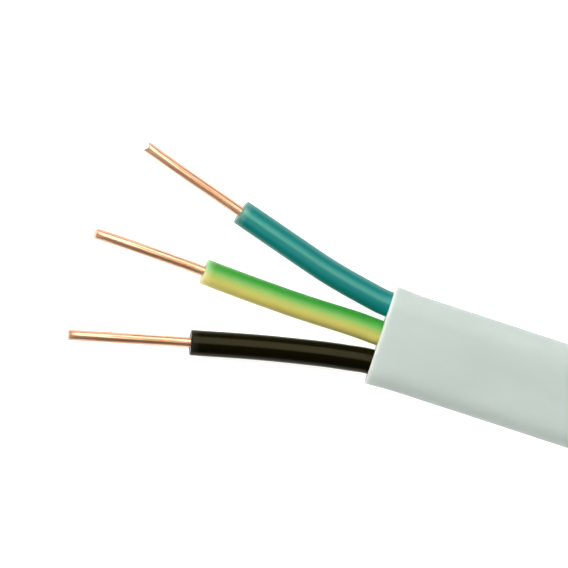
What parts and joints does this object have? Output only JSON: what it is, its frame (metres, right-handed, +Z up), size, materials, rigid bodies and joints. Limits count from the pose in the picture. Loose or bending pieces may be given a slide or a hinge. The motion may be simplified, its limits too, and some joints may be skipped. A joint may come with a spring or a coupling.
{
  "type": "flat three-core cable coil",
  "caption": "Coil of flat solid-copper installation cable, tied, with one end led out flat, stripped to its coloured cores and bare wires.",
  "frame": {"origin": "underside of the flat stretch of sheath, on its middle line, 15 mm from the square-cut end, where a cable clip holds it against a surface", "axes": "-X along the cable towards the bared wires, +X along it towards the coil, +Z up away from the floor, +Y sideways towards the blue core"},
  "size_m": [0.2185, 0.145, 0.0394],
  "materials": {
    "sheath_pvc": "satin extruded",
    "blue_pvc": "semi-gloss extruded",
    "green_yellow_pvc": "semi-gloss extruded, green and yellow stripes",
    "black_pvc": "semi-gloss extruded",
    "copper": "bright drawn copper",
    "nylon": "natural moulded"
  },
  "bodies": {
    "root": {"coil": "sheath_pvc", "sheath_lead": "sheath_pvc", "insulation_blue": "blue_pvc", "insulation_green_yellow": "green_yellow_pvc", "insulation_black": "black_pvc", "conductor_blue": "copper", "conductor_green_yellow": "copper", "conductor_black": "copper", "tie_1": "nylon", "tie_2": "nylon", "tie_3": "nylon"}
  },
  "joints": []
}
